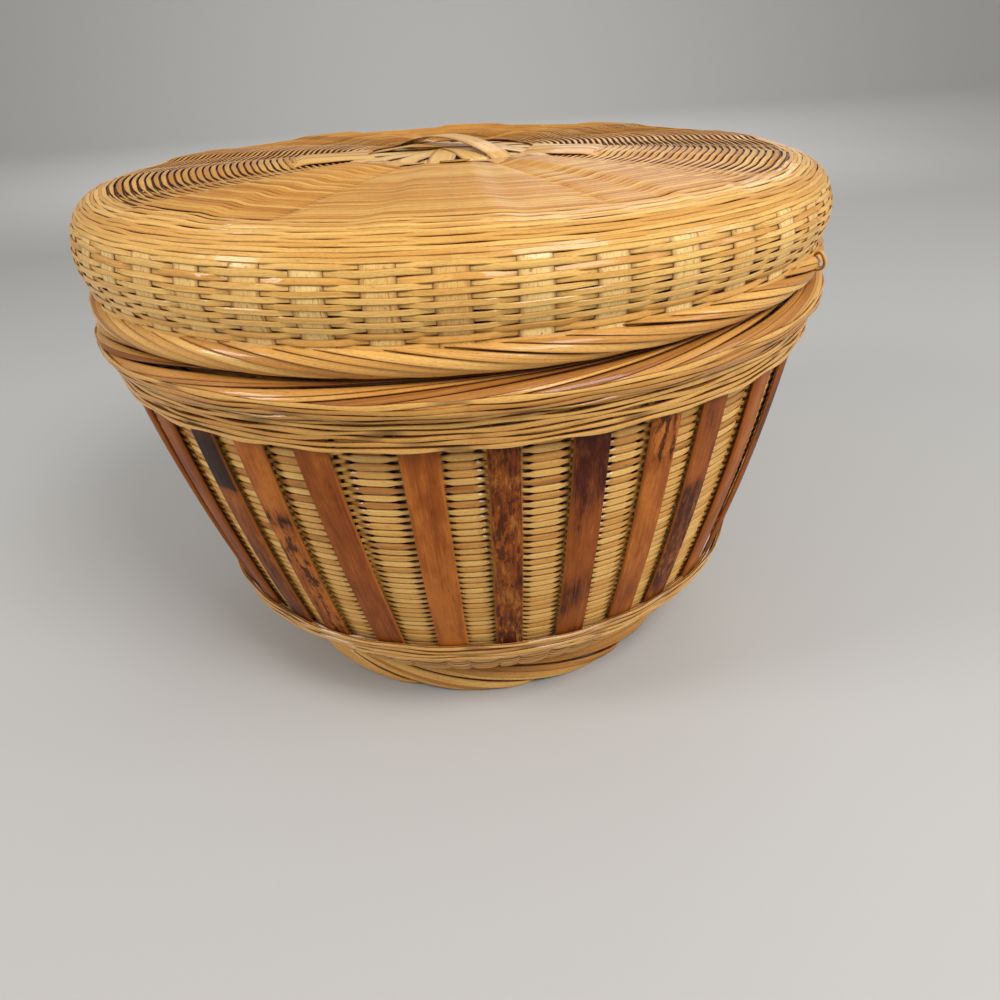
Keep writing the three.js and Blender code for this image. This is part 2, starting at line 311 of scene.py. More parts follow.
class Value:
    """One socket of a finish's nodes. Sums and products of it add their Math nodes."""

    def __init__(self, finish, socket):
        self.finish = finish
        self.socket = socket

    def maths(self, operation, *terms):
        return self.finish.node("ShaderNodeMath", {"operation": operation}, terms)

    def __add__(self, other):
        return self.maths("ADD", self, other)

    def __sub__(self, other):
        return self.maths("SUBTRACT", self, other)

    def __rsub__(self, other):
        return self.maths("SUBTRACT", other, self)

    def __mul__(self, other):
        return self.maths("MULTIPLY", self, other)

    def __abs__(self):
        return self.maths("ABSOLUTE", self)

    __radd__ = __add__

    def between(self, low, high):
        """0 below low, 1 above high, eased between."""
        inputs = {"Value": self, "From Min": low, "From Max": high}
        return self.finish.node("ShaderNodeMapRange", {"interpolation_type": "SMOOTHSTEP"}, inputs)


class Finish:
    """A material whose nodes end in one Principled shader."""

    def __init__(self, name):
        self.material = bpy.data.materials.new(name)
        self.material.use_nodes = True
        self.tree = self.material.node_tree
        self.shader = self.tree.nodes["Principled BSDF"]

    def node(self, kind, settings=None, inputs=(), output=0):
        made = self.tree.nodes.new(kind)
        for setting, value in (settings or {}).items():
            setattr(made, setting, value)
        sockets = inputs.items() if isinstance(inputs, dict) else enumerate(inputs)
        for socket, value in sockets:
            self.feed(made.inputs[socket], value)
        return Value(self, made.outputs[output])

    def feed(self, socket, value):
        if isinstance(value, Value):
            self.tree.links.new(value.socket, socket)
        else:
            socket.default_value = value

    def mixed(self, factor, first, second):
        """The second colour laid over the first."""
        colours = {0: factor, 6: first, 7: second}
        return self.node("ShaderNodeMix", {"data_type": "RGBA"}, colours, output=2)

    def held(self, name, part):
        """One part of a value that the mesh carries for each point."""
        whole = self.node("ShaderNodeAttribute", {"attribute_name": name}, output=1)
        return self.node("ShaderNodeSeparateXYZ", None, (whole,), output=part)

    def noise(self, x, y, z, detail=2.0, roughness=0.5):
        """Noise whose place is worked out from three values."""
        place = self.node("ShaderNodeCombineXYZ", None, (x, y, z))
        inputs = {"Vector": place, "Scale": 1.0, "Detail": detail, "Roughness": roughness}
        return self.node("ShaderNodeTexNoise", None, inputs)

    def bumped(self, height, distance, strength):
        """Feeds a height to the shader's normal."""
        inputs = {"Height": height, "Distance": distance, "Strength": strength}
        self.feed(self.shader.inputs["Normal"], self.node("ShaderNodeBump", None, inputs))

    def finished(self, **sockets):
        """Sets the shader's own sockets, by their names with _ for a space."""
        for socket, value in sockets.items():
            self.feed(self.shader.inputs[socket.replace("_", " ")], value)
        return self


def dye(red, green, blue):
    """A colour as it looks on a screen, 0 to 255, for a shader."""
    shares = [part / 255 for part in (red, green, blue)]
    return tuple(s / 12.92 if s < 0.04045 else ((s + 0.055) / 1.055) ** 2.4 for s in shares) + (1,)


def split_bamboo(name, dyes, roughness, fibres_across, fibre_share, edge_share=1.0, varnish=0.36):
    """Varnished split bamboo: fine grain along each strip, shades that differ from strip to
    strip, amber stains and a few dark specks. Painted shade darkens each strip at its edges
    and where it dips behind its neighbours, with old varnish gone dark in the crevices as
    well. Noise is counted to the metre along a strip, and to half a width across it."""
    pale, middle, deep, shade_and_specks = dyes
    finish = Finish(name)
    along = finish.held("grain", 0)
    across = finish.held("grain", 1)
    tone = finish.held("grain", 2)
    painted_shade = finish.node("ShaderNodeAttribute", {"attribute_name": "painted_shade"}, output=2)
    coarse = {"detail": 3.0, "roughness": 0.6}
    fibres = finish.noise(along * 45, across * fibres_across + tone * 70, tone * 31, **coarse)
    stains = finish.noise(along * 14, across * 0.5 + tone * 23, tone * 57, **coarse)
    specks = finish.noise(along * 380, across * 3 + tone * 41, tone * 19, detail=1.0)
    cracks = finish.noise(along * 9, across * 5.5 + tone * 90, tone * 13, detail=1.0)
    flecks = finish.noise(along * 620, across * 7 + tone * 51, tone * 7)
    edge = abs(across)
    shade = tone * 0.75 + stains * 0.8 - 0.28
    colour = finish.mixed(shade.between(0.1, 0.62), pale, middle)
    colour = finish.mixed(shade.between(0.55, 1.0), colour, deep)
    streak = (fibres - 0.5) * 1.1
    colour = finish.mixed(streak.between(0.03, 0.3) * fibre_share, colour, deep)
    colour = finish.mixed((0 - streak).between(0.05, 0.3) * 0.35, colour, pale)
    colour = finish.mixed(specks.between(0.7, 0.77) * 0.5, colour, shade_and_specks)
    colour = finish.mixed(cracks.between(0.66, 0.74) * 0.6, colour, deep)
    colour = finish.mixed(flecks.between(0.5, 0.7) * 0.35, colour, deep)
    # Painted shade: each strip darkens towards its edges, and goes nearly black where it dips behind
    # its neighbours, where old varnish has gone dark too.
    colour = finish.mixed(edge.between(0.6, 0.98) * (0.7 * edge_share), colour, deep)
    edge_and_crevice_shade = edge.between(0.9, 1.0) * (0.7 * edge_share) + painted_shade.between(0.2, 1.0) * 0.95
    colour = finish.mixed(edge_and_crevice_shade, colour, shade_and_specks)
    finish.bumped(fibres + stains * 0.3 + flecks * 0.25, 0.0006, 0.4)
    return finish.finished(
        Base_Color=colour,
        Roughness=roughness + fibres * 0.22,
        Specular_IOR_Level=0.18,
        Coat_Weight=varnish,
        Coat_Roughness=0.1,
    )


# In each set of dyes the last is the darkest, used for dark specks and for the painted shade.
border_dyes = [dye(230, 178, 96), dye(200, 140, 64), dye(136, 72, 18), dye(52, 17, 3)]
border_finish = split_bamboo(
    "varnished_border_strips", border_dyes, roughness=0.32, fibres_across=5, fibre_share=0.6
)


def rolled_border(
    name, outline, count, sweep_degrees, width, thickness, seed, rising=False, sag=0, age=0
):
    """Strips that start at the top of an outline and run down it slantwise as they go round, or
    rise from its foot, each with one edge over the strip beside it and both ends tucked in.
    sag is how far they have sunk in front, and age how much darker their varnish has gone."""
    strips = Strips(count, 44, corners=10).squared(0.72)
    number = strips.strip
    draw = np.random.default_rng(seed)
    start = (np.arange(count) + draw.uniform(-0.12, 0.12, count)) * full_turn / count
    sweep_angle = math.radians(sweep_degrees) * draw.uniform(0.92, 1.1, count)
    bearing = start[number] + strips.along * sweep_angle[number]
    strip_width = width * draw.uniform(0.86, 1.12, count)
    off_middle = np.abs(strips.along - 0.5)
    taper = 1 - 0.35 * smooth(off_middle, 0.4, 0.5)
    across = strips.across * strip_width[number] * taper / 2
    climb = strips.along * (0.8 + 0.2 * strips.along) if rising else 1 - strips.along
    middle = outline.length * climb + ripple(seed, number, bearing, (3, 7), 0.3)
    tucked = smooth(off_middle, 0.36, 0.5) * thickness * 1.3
    shingle = across / width * thickness * 0.9
    depth = thickness / 2 + tucked + shingle - strips.out * thickness / 2
    radius, height = outline.at(middle + across, depth)
    height = height - sag * smooth(np.cos(bearing), 0.8, 0.97)
    tone = age + draw.uniform(0, 0.85, count)[number]
    length = math.radians(sweep_degrees) * outline.radius.mean()
    # Painted shade on the ends that are tucked in, and on the under edge of each strip, where it goes
    # below its neighbour.
    under_edge = smooth(np.abs(strips.across), 0.9, 1) * (strips.out < 0.2)
    painted_shade = 0.9 * smooth(tucked, 0, thickness) + 0.75 * under_edge
    places = places_round(bearing, radius, height)
    return strips.laid(name, places, length, tone, painted_shade, border_finish, crisp=60)


def bent_hoop(name, radius, foot, top, thickness, lap_degrees, seed):
    """A hoop bent from one flat strip, whose ends lap past one another."""
    strip = Strips(1, 200, corners=8).squared(0.45)
    lap_at = math.radians(150)
    bearing = lap_at + strip.along * (full_turn + math.radians(lap_degrees))
    inward = thickness * (strip.along - 0.5) * 1.04
    unevenness = ripple(seed, strip.strip, bearing, (2, 5), 0.2)
    height = (foot + top) / 2 + strip.across * (top - foot) / 2 + unevenness
    places = places_round(bearing, radius - inward + strip.out * thickness / 2, height)
    return strip.laid(name, places, full_turn * radius, 0.45, 0.1, border_finish)


foot_outline = oval(
    centre_radius=100.4,
    centre_height=8.6,
    half_width=4.0,
    half_height=8.6,
    from_angle=-88,
    to_angle=118,
    power=0.7,
)
foot_border = rolled_border(
    "foot_border_strips", foot_outline, count=34, sweep_degrees=74, width=3.5, thickness=1.4, seed=11
)
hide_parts("foot_border")
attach(foot_border, "basket")

foot_hoop = bent_hoop(
    "foot_hoop_strip", radius=95.4, foot=1.2, top=16.6, thickness=1.2, lap_degrees=14, seed=12
)
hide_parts("foot_hoop")
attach(foot_hoop, "basket")


# Floor middle: two sets of flat splints woven square across one another. Their ends run out
# under the first turns of the weft, where they are split to make the stakes.
splint_dyes = [dye(238, 202, 130), dye(220, 172, 94), dye(158, 98, 38), dye(72, 36, 13)]
splint_finish = split_bamboo(
    "pale_splints", splint_dyes, roughness=0.38, fibres_across=8, fibre_share=0.75
)
mat_splints_each_way = 9
mat_pitch = 12.4
mat_splint_width = 11.2
mat_splint_thickness = 0.7
mat_radius = 60.5
mat_height = 18.8
mat_swing = 0.42

mat = Strips(2 * mat_splints_each_way, 60, corners=8).squared(0.45)
crosswise = mat.strip % 2 == 1
order = mat.strip // 2 - (mat_splints_each_way - 1) / 2
mat_offset = order * mat_pitch
mat_half_length = np.sqrt(mat_radius**2 - mat_offset**2) - 2
run = (2 * mat.along - 1) * mat_half_length
mat_wave = np.cos(math.pi * (run / mat_pitch + order)) * np.where(crosswise, -1, 1)
mat_side = mat_offset + mat.across * mat_splint_width / 2
mat_level = mat_height - mat_swing * mat_wave + mat.out * mat_splint_thickness / 2
mat_bearing = np.where(crosswise, math.pi, math.pi / 2)
mat_places = places_round(mat_bearing, run, mat_level, side=-mat_side)
mat_tone = mat.shades(21, 0, 0.8)
floor_mat = mat.laid("floor_mat_splints", mat_places, 2 * mat_radius - 1, mat_tone, 0, splint_finish)
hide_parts("base_crossing")
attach(floor_mat, "basket")


# Stakes: sixty-six flat splints that run out across the floor, up the bowl and up the wall to
# the rim. Every second one is hidden behind a slat, and the weft goes in and out round them.
foot_height = 17
gap_over_foot = 0.3
bowl_start_radius = 98
bowl_top = 47
band_foot = 56
band_top = 162
wall_top = 173.5
lower_wall_radius = 135
upper_wall_radius = 161.5
wall_bulge = 2.2
slat_to_weave = 2.6
weave_thickness = 3
weft_start_radius = 54.5
bowl_points = 60


def wall_radius(height):
    """Radius of the slats' outer face."""
    share = (height - band_foot) / (band_top - band_foot)
    spread = upper_wall_radius - lower_wall_radius
    return lower_wall_radius + spread * share + 4 * wall_bulge * share * (1 - share)


def drawn_curve(count, *points):
    """So many points along a curve from the first of these points to the last, drawn towards
    those between."""
    share = np.linspace(0, 1, count)[:, None]
    points = [np.array(point) for point in points]
    while len(points) > 1:
        points = [start + (end - start) * share for start, end in zip(points, points[1:])]
    return points[0]


slat_face_height = np.linspace(bowl_top, wall_top, 80)
slat_face = Outline(wall_radius(slat_face_height), slat_face_height)
wall_r, wall_h = slat_face.at(slat_face.distance, slat_to_weave)
floor_level = foot_height + gap_over_foot
bowl_rise = (wall_h[0] - floor_level) / 2
wall_slope = (wall_r[1] - wall_r[0]) / (wall_h[1] - wall_h[0])
bowl_curve = drawn_curve(
    bowl_points,
    (bowl_start_radius, floor_level),
    (bowl_start_radius + bowl_rise, floor_level),
    (wall_r[0] - bowl_rise * wall_slope, wall_h[0] - bowl_rise),
    (wall_r[0], wall_h[0]),
)
body_side = Outline(
    np.concatenate(([weft_start_radius], bowl_curve[:-1, 0], wall_r)),
    np.concatenate(([floor_level], bowl_curve[:-1, 1], wall_h)),
)


def up_the_wall(height):
    """Distance along the basket's side at a height on its wall."""
    return np.interp(height, body_side.height[bowl_points:], body_side.distance[bowl_points:])


def filled_round(front, count):
    """Bearings all the way round, in radians: those of the front as they stand, in degrees, and
    the rest of the count spaced evenly behind."""
    pitch = (360 - (front[-1] - front[0])) / (count - len(front) + 1)
    return np.radians(front + [front[-1] + pitch * (n + 1) for n in range(count - len(front))])


def count_round(bearing, bearings):
    """Which of these bearings a bearing is at, counted from the first, with parts between two."""
    turned = (bearing - bearings[0]) % full_turn + bearings[0]
    once_round = np.append(bearings, bearings[0] + full_turn)
    return np.interp(turned, once_round, np.arange(len(once_round)))


slat_count = 33
slat_bearings = filled_round([-50, -40, -31, -20.5, -7, 3.5, 15, 26, 35, 47], slat_count)
next_slats = np.append(slat_bearings[1:], slat_bearings[0] + full_turn)
stake_bearings = np.stack((slat_bearings, (slat_bearings + next_slats) / 2), axis=1).ravel()
stake_thickness = 0.9
stake_share_of_pitch = 0.78
widest_stake = 9.2

stakes = Strips(len(stake_bearings), 90, corners=8).squared(0.45)
stake_run = stakes.along * body_side.length
stake_r, stake_h = body_side.at(stake_run, weave_thickness / 2 - stakes.out * stake_thickness / 2)
stake_pitch = full_turn * stake_r / len(stake_bearings)
stake_width = np.minimum(stake_pitch * stake_share_of_pitch, widest_stake)
stake_turn = stake_bearings[stakes.strip] - stakes.across * stake_width / 2 / stake_r
stake_places = places_round(stake_turn, stake_r, stake_h)
stake_tone = stakes.shades(31, 0, 0.6)
body_stakes = stakes.laid(
    "body_stakes", stake_places, body_side.length, stake_tone, 0, splint_finish
)
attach(body_stakes, "basket")


# Floor weft and bowl weft: narrow strips woven round the mat and turned up into the bowl, in
# front of one stake and behind the next.
weft_dyes = [dye(236, 190, 106), dye(212, 154, 72), dye(152, 86, 26), dye(46, 15, 3)]
weft_finish = split_bamboo(
    "weft_strips", weft_dyes, roughness=0.34, fibres_across=4.5, fibre_share=0.55, edge_share=0.75
)


def over_and_under(stake, ring, firmness):
    """1 where a ring lies over a stake and -1 where it goes behind."""
    wave = np.cos(math.pi * (stake + ring))
    return np.tanh(firmness * wave) / np.tanh(firmness)


def pinched(lift, bearing):
    """Strips that squeeze past one another between two stakes."""
    return 1 - 0.2 * (1 - np.abs(lift))


def woven_rings(
    name,
    side,
    distances,
    widths,
    wave,
    stations,
    seed,
    swing=0.95,
    thickness=0.9,
    narrowing=pinched,
    shingle=0,
    sunk_range=(0.1, 0.35),
    loose_share=0.16,
    edge_lines=None,
    relief=None,
    place=places_round,
    tone_spread=0.85,
    finish=weft_finish,
):
    """Rings of weft at these distances along a side. wave says where each goes over and under,
    and narrowing how its width changes on the way. shingle tilts one edge under its neighbour.
    Turns get painted shade as they go further under, between the two ends of sunk_range, and
    edge_lines says at which bearings their edges get painted shade as well."""
    rings = Strips(len(distances), stations, closed=True).squared(0.55)
    ring = rings.strip
    bearing = rings.along * full_turn
    lift = wave(bearing, ring)
    strain = 1 + ripple(seed + 1, ring, bearing, (2, 5, 11), 0.12)
    draw = np.random.default_rng(seed)
    own_width = widths * draw.uniform(0.93, 1.07, len(distances))
    across = rings.across * own_width[ring] / 2 * narrowing(lift, bearing)
    wander = ripple(seed, ring, bearing, (3, 7, 13, 29, 43), loose_share)
    distance = distances[ring] + across + wander
    depth = weave_thickness / 2 - swing * lift * strain - rings.out * thickness / 2
    depth = depth + shingle * across
    if relief is not None:
        depth = depth - relief(bearing, distance)
    radius, height = side.at(distance, depth)
    own_tone = draw.uniform(0, tone_spread, len(distances))[ring]
    tone = own_tone + ripple(seed + 2, ring, bearing, (1, 2), 0.12)
    length = full_turn * side.radius.mean()
    # Painted shade: turns darken as they go behind a stake, and along their edges where edge_lines
    # asks.
    painted_shade = smooth(-lift, *sunk_range)
    if edge_lines is not None:
        own_line = draw.uniform(0.45, 1.35, len(distances))[ring]
        at_edge = smooth(np.abs(rings.across), 0.6, 1)
        painted_shade = np.maximum(painted_shade, own_line * edge_lines(bearing) * at_edge)
    return rings.laid(name, place(bearing, radius, height), length, tone, painted_shade, finish)


def under_slats(bearing):
    """The stake that a bearing is at, drawn so that strips cross behind the slats' edges."""
    stake = count_round(bearing, stake_bearings)
    slat = 2 * np.round(stake / 2)
    off = stake - slat
    return slat + np.sign(off) * np.interp(np.abs(off), (0, 0.4, 1), (0, 0.5, 1))


def body_wave(first):
    """The basket's weave, counted on from a ring, so that its pieces follow one another."""
    return lambda bearing, ring: over_and_under(under_slats(bearing), ring + first, firmness=2)


low_ring_pitch = 1.75
floor_ring_width = 2.2
bowl_ring_width = 2.3
floor_rings = np.arange(2.5, bowl_start_radius - weft_start_radius - 0.5, low_ring_pitch)
floor_weft = woven_rings(
    "floor_weft", body_side, floor_rings, floor_ring_width, body_wave(0), stations=264, seed=41
)
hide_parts("base_weave")
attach(floor_weft, "basket")

bowl_rings = np.arange(floor_rings[-1] + low_ring_pitch, up_the_wall(bowl_top) + 1, low_ring_pitch)
bowl_weft = woven_rings(
    "bowl_weft",
    body_side,
    bowl_rings,
    bowl_ring_width,
    body_wave(len(floor_rings)),
    stations=330,
    seed=42,
)
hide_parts("bowl_weave")
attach(bowl_weft, "basket")


# Wall weft: the same strips carried on up the wall to the rim. The turns are packed close at
# the foot of the wall and spaced wider towards its top, where black gaps show between them.
wall_ring_count = 76
closest_pitch_share = 0.89
wall_fullness = 1.86
narrowed_at_slats = 0.38
wall_foot_distance = bowl_rings[-1] + 1.6
wall_run = body_side.length - 0.8 - wall_foot_distance
ring_share = np.arange(wall_ring_count) / (wall_ring_count - 1)
wall_rings = wall_foot_distance + wall_run * (
    ring_share * closest_pitch_share + ring_share**2 * (1 - closest_pitch_share)
)
wall_ring_width = np.gradient(wall_rings) * wall_fullness
rings_so_far = len(floor_rings) + len(bowl_rings)


def wall_narrowing(lift, bearing):
    """Full width on a bare stake, rounded off towards the slats on either side."""
    off_stake = np.abs(1 - count_round(bearing, stake_bearings) % 2)
    return 1 - narrowed_at_slats * smooth(off_stake, 0.28, 0.4)


for part, (first, last) in enumerate(((0, 26), (26, 51), (51, wall_ring_count))):
    wall_weft = woven_rings(
        f"wall_weft_{part + 1}",
        body_side,
        wall_rings[first:last],
        wall_ring_width[first:last],
        body_wave(rings_so_far + first),
        stations=528,
        seed=43 + 7 * part,
        narrowing=wall_narrowing,
    )
    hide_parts("wall_weave")
    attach(wall_weft, "basket")


# Lower band: long strips twined round the foot of the wall, over the slats' lower ends and, for
# three of them, behind. They stand proud of the wall, and the gaps between them open and close.
band_thickness = 1.5
band_strand_length = 900


def twined_band(name, side, distances, width, depth, twist_counts, seed):
    """Rings of long strips that sway towards and away from one another."""
    rings = Strips(len(distances), 420, corners=8, closed=True).squared(0.75)
    ring = rings.strip
    bearing = rings.along * full_turn
    sway = ripple(seed, ring, bearing, twist_counts, 0.55)
    swell = ripple(seed + 1, ring, bearing, twist_counts, 0.5)
    thin = 0.94 + ripple(seed + 2, ring, bearing, twist_counts, 0.34)
    across = rings.across * width * thin / 2
    distance = distances[ring] + sway + across
    own_depth = np.broadcast_to(depth, len(distances))[ring]
    below = own_depth + 0.5 - swell - rings.out * band_thickness / 2
    places = places_round(bearing, *side.at(distance, below))
    tone = rings.shades(seed, 0, 0.5) + ripple(seed + 3, ring, bearing, (1, 2, 3), 0.14)
    # Painted shade where a strand sinks back between its neighbours, and along its edges.
    painted_shade = np.maximum(0.7 * smooth(-swell, 0, 0.6), 0.62 * smooth(np.abs(rings.across), 0.8, 1))
    return rings.laid(name, places, band_strand_length, tone, painted_shade, border_finish)


lower_band = twined_band(
    "lower_band_strips",
    body_side,
    up_the_wall(np.array([42.4, 45.0, 47.5, 50.0, 52.6, 55.3, 46.4, 49.4, 52.6])),
    width=2.3,
    depth=np.array([-4.5] * 6 + [-2.2] * 3),
    twist_counts=(9, 17, 27),
    seed=51,
)
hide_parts("lower_band")
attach(lower_band, "basket")


# Slats: broad strips of smoked bamboo laid upright over the weave, with their ends held under
# the two bands. Each has the bark side out, and its own colour, mottling and scorching.
slat_foot = 49
slat_top = 169
slat_lower_width = 11.4
slat_upper_width = 13.3
slat_thickness = 2.0

slat_finish = Finish("smoked_slats")
slat_along = slat_finish.held("grain", 0)
slat_across = slat_finish.held("grain", 1)
slat_seed = slat_finish.held("grain", 2)
slat_tone = slat_finish.held("look", 0)
slat_mottle = slat_finish.held("look", 1)
slat_scorch = slat_finish.held("look", 2)
long_grain = slat_finish.noise(
    slat_along * 34, slat_across * 9 + slat_seed * 9, slat_seed, detail=4.0, roughness=0.65
)
clouds = slat_finish.noise(
    slat_along * 42, slat_across * 0.9 + slat_seed * 5, slat_seed * 3, detail=4.0, roughness=0.62
)
blotches = slat_finish.noise(
    slat_along * 130, slat_across * 2.2 + slat_seed * 7, slat_seed * 11, detail=4.0, roughness=0.65
)
bark = slat_finish.noise(slat_along * 420, slat_across * 5 + slat_seed, slat_seed * 2, detail=3.0)
slat_shade = slat_tone + (clouds - 0.5) * 1.7 + (long_grain - 0.5) * 0.8 + (blotches - 0.5) * 0.8
slat_colour = slat_finish.mixed(slat_shade.between(0, 0.5), dye(188, 108, 40), dye(146, 74, 22))
slat_colour = slat_finish.mixed(slat_shade.between(0.45, 1.05), slat_colour, dye(66, 19, 6))
yellow_patch = (blotches + (long_grain - 0.5) * 0.3).between(0.53, 0.66) * slat_mottle
slat_colour = slat_finish.mixed(yellow_patch * 0.6, slat_colour, dye(190, 122, 50))
dark_patch = (1 - blotches - (clouds - 0.5) * 0.4).between(0.48, 0.62) * slat_mottle
slat_colour = slat_finish.mixed(dark_patch * 0.9, slat_colour, dye(50, 15, 5))
scorched = (slat_scorch + (clouds - 0.5) * 0.8).between(0.35, 0.7)
slat_colour = slat_finish.mixed(scorched * 0.88, slat_colour, dye(32, 16, 12))
scratch = slat_finish.noise(slat_along * 30, slat_across * 16 + slat_seed * 13, slat_seed, detail=1.0)
slat_colour = slat_finish.mixed(scratch.between(0.76, 0.82) * 0.5, slat_colour, dye(214, 166, 104))
slat_edge = abs(slat_across).between(0.9, 0.99)
slat_colour = slat_finish.mixed(slat_edge * 0.55, slat_colour, dye(178, 108, 46))
slat_relief = long_grain * 0.6 + blotches * slat_mottle * 1.4 + bark * slat_mottle * 0.6
slat_finish.bumped(slat_relief, 0.0008, 0.45)
slat_finish.finished(
    Base_Color=slat_colour,
    Roughness=0.4 + long_grain * 0.2 + slat_mottle * bark * 0.2,
    Specular_IOR_Level=0.12,
    Coat_Weight=0.08,
    Coat_Roughness=0.2,
)

# The slats across the front, left to right: width at the foot and at the top, and how far in
# degrees the foot and the top stand to the right.
front_slat_shapes = [
    (12.6, 14.6, -0.8, -0.8),
    (11.9, 13.6, 0, 0),
    (12.2, 13.8, 0, 0),
    (13.2, 14.0, 1.3, -0.8),
    (13.5, 14.6, 0, 0),
    (11.4, 12.1, 0, 0),
    (13.0, 14.4, 0, 0),
    (12.0, 13.4, 0, 0),
    (12.0, 13.2, 0, 0),
    (11.6, 13.0, 0, 0),
]
# Their looks on the way down from the top: a share of the length, a tone from caramel (0) to
# purple brown (1), mottling, and scorching. The rest of the slats are drawn by lot.
front_slat_looks = [
    [(0, 0.5, 0.25, 0), (1, 0.6, 0.3, 0)],
    [(0, 0.85, 0.15, 0.2), (0.12, 0.8, 0.3, 1), (0.25, 0.8, 0.3, 1), (0.3, 0.5, 0.45, 0)]
    + [(1, 0.85, 0.4, 0.1)],
    [(0, 0.1, 0.2, 0), (0.3, 0.15, 0.3, 0), (0.36, 0.6, 1, 0.5), (0.42, 0.3, 1, 0), (1, 0.45, 1, 0)],
    [(0, 0.5, 0.25, 0), (1, 0.55, 0.3, 0)],
    [(0, 0.26, 0.15, 0), (1, 0.3, 0.15, 0)],
    [(0, 0.7, 0.9, 0), (0.6, 0.6, 0.9, 0), (1, 0.85, 1, 0)],
    [(0, 1, 0.15, 0), (0.2, 0.95, 0.15, 0), (0.35, 0.55, 0.2, 0), (0.65, 0.6, 0.25, 0)]
    + [(0.75, 1, 0.25, 0), (0.9, 0.6, 0.2, 0)],
    [(0, 0.35, 1, 0), (0.2, 0.35, 1, 0), (0.26, 0.12, 0.3, 0), (0.6, 0.25, 0.25, 0), (1, 0.45, 0.3, 0)],
    [(0, 0.5, 0.25, 0), (0.33, 0.5, 0.25, 0), (0.4, 0.95, 0.3, 0.5), (0.55, 0.8, 0.9, 0.4)]
    + [(0.9, 0.8, 0.9, 0.3), (1, 0.6, 0.4, 0)],
    [(0, 0.35, 0.2, 0), (1, 0.4, 0.2, 0)],
]
slat_draw = np.random.default_rng(61)
for number, bearing in enumerate(slat_bearings):
    if number < len(front_slat_shapes):
        lower_width, upper_width, foot_lean, top_lean = front_slat_shapes[number]
        looks = front_slat_looks[number]
    else:
        foot_lean = top_lean = 0
        lower_width = slat_lower_width * slat_draw.uniform(0.94, 1.1)
        upper_width = slat_upper_width * slat_draw.uniform(0.94, 1.08)
        own_tone = slat_draw.uniform(0.1, 0.9)
        own_mottle = slat_draw.uniform(0, 1) ** 2
        looks = []
        for share in (0, 0.35, 0.7, 1):
            tone = own_tone + slat_draw.uniform(-0.25, 0.25)
            looks.append((share, tone, own_mottle, slat_draw.uniform() < 0.08))
    slat = Strips(1, 48, corners=12).squared(0.4)
    rise = slat_foot + slat.along * (slat_top - slat_foot)
    share = (rise - band_foot) / (band_top - band_foot)
    width = lower_width + (upper_width - lower_width) * share
    width = width + ripple(610 + number, slat.strip, slat.along, (5, 11, 19), 0.22)
    swell = ripple(640 + number, slat.strip, slat.along, (4, 9), 0.12)
    depth = (1 - slat.out) * slat_thickness / 2 - swell
    place_r, place_h = body_side.at(up_the_wall(rise), depth - slat_to_weave)
    lean = np.radians(foot_lean + (top_lean - foot_lean) * share)
    turn = bearing + lean - slat.across * width / 2 / place_r
    places = places_round(turn, place_r, place_h)
    name = f"slat_strip_{number + 1:02d}"
    piece = slat.laid(name, places, slat_top - slat_foot, 3.7 * number + 1, 0, slat_finish)
    stops = np.array(looks, float).T
    look = np.stack([np.interp(1 - share, stops[0], part) for part in stops[1:]], axis=1)
    carry(piece.data, "look", "FLOAT_VECTOR", look)
    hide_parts(f"slat_{number + 1:02d}")
    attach(piece, "basket")


# Upper band: five turns of long twined strips that hold the slats' upper ends, close under the
# rolled rim. They stand proud of the wall, and sway and swell as those of the lower band do.
upper_band = twined_band(
    "upper_band_strips",
    body_side,
    up_the_wall(np.array([163.8, 166.2, 168.5, 170.8, 173.1])),
    width=2.0,
    depth=-5.1,
    twist_counts=(13, 23, 31),
    seed=71,
)
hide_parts("upper_band")
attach(upper_band, "basket")


# Rim border: broad strips that rise round the outside towards the right, roll over the top of
# the wall and go down inside the mouth, and long thin ones that bind their lower turns. The lid
# rests on the broad ones.
rim_section = (162.4, 181.0, 6.8, 7.4)
rim_border = rolled_border(
    "rim_border_strips",
    oval(*rim_section, -22, 190),
    count=40,
    sweep_degrees=86,
    width=3.7,
    thickness=1.3,
    seed=81,
    rising=True,
    sag=1.1,
    age=0.22,
)
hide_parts("rim_border")
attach(rim_border, "basket")

rim_binding = twined_band(
    "rim_binding_strips",
    oval(*rim_section, -70, 30),
    np.array([0.9, 3.1, 5.2, 7.3, 9.3]),
    width=1.9,
    depth=-0.6,
    twist_counts=(11, 19, 29),
    seed=84,
)
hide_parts("rim_border")
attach(rim_binding, "basket")


# Collar: a thin strip bent to a ring, its ends lapped, and set inside the mouth so that it stands
# up past the rim. The lid comes down over it and is kept in its place.
lid_collar = bent_hoop(
    "lid_collar_strip", radius=154.5, foot=164.2, top=198.8, thickness=1.05, lap_degrees=16, seed=91
)
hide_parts("lid_collar")
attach(lid_collar, "basket")


# Lid hoop and lid border: a bent hoop that slips round the collar, and broad strips rolled
# round it on the outside, which run down to the right as those of the rim do.
lid_hoop = bent_hoop(
    "lid_hoop_strip", radius=158.8, foot=189.5, top=202.0, thickness=1.1, lap_degrees=12, seed=101
)
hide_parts("lid_hoop")
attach(lid_hoop, "lid")

lid_border = rolled_border(
    "lid_border_strips",
    oval(163.4, 195.0, 4.7, 5.6, -120, 96),
    count=54,
    sweep_degrees=42,
    width=3.7,
    thickness=1.3,
    seed=102,
)
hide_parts("lid_border")
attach(lid_border, "lid")

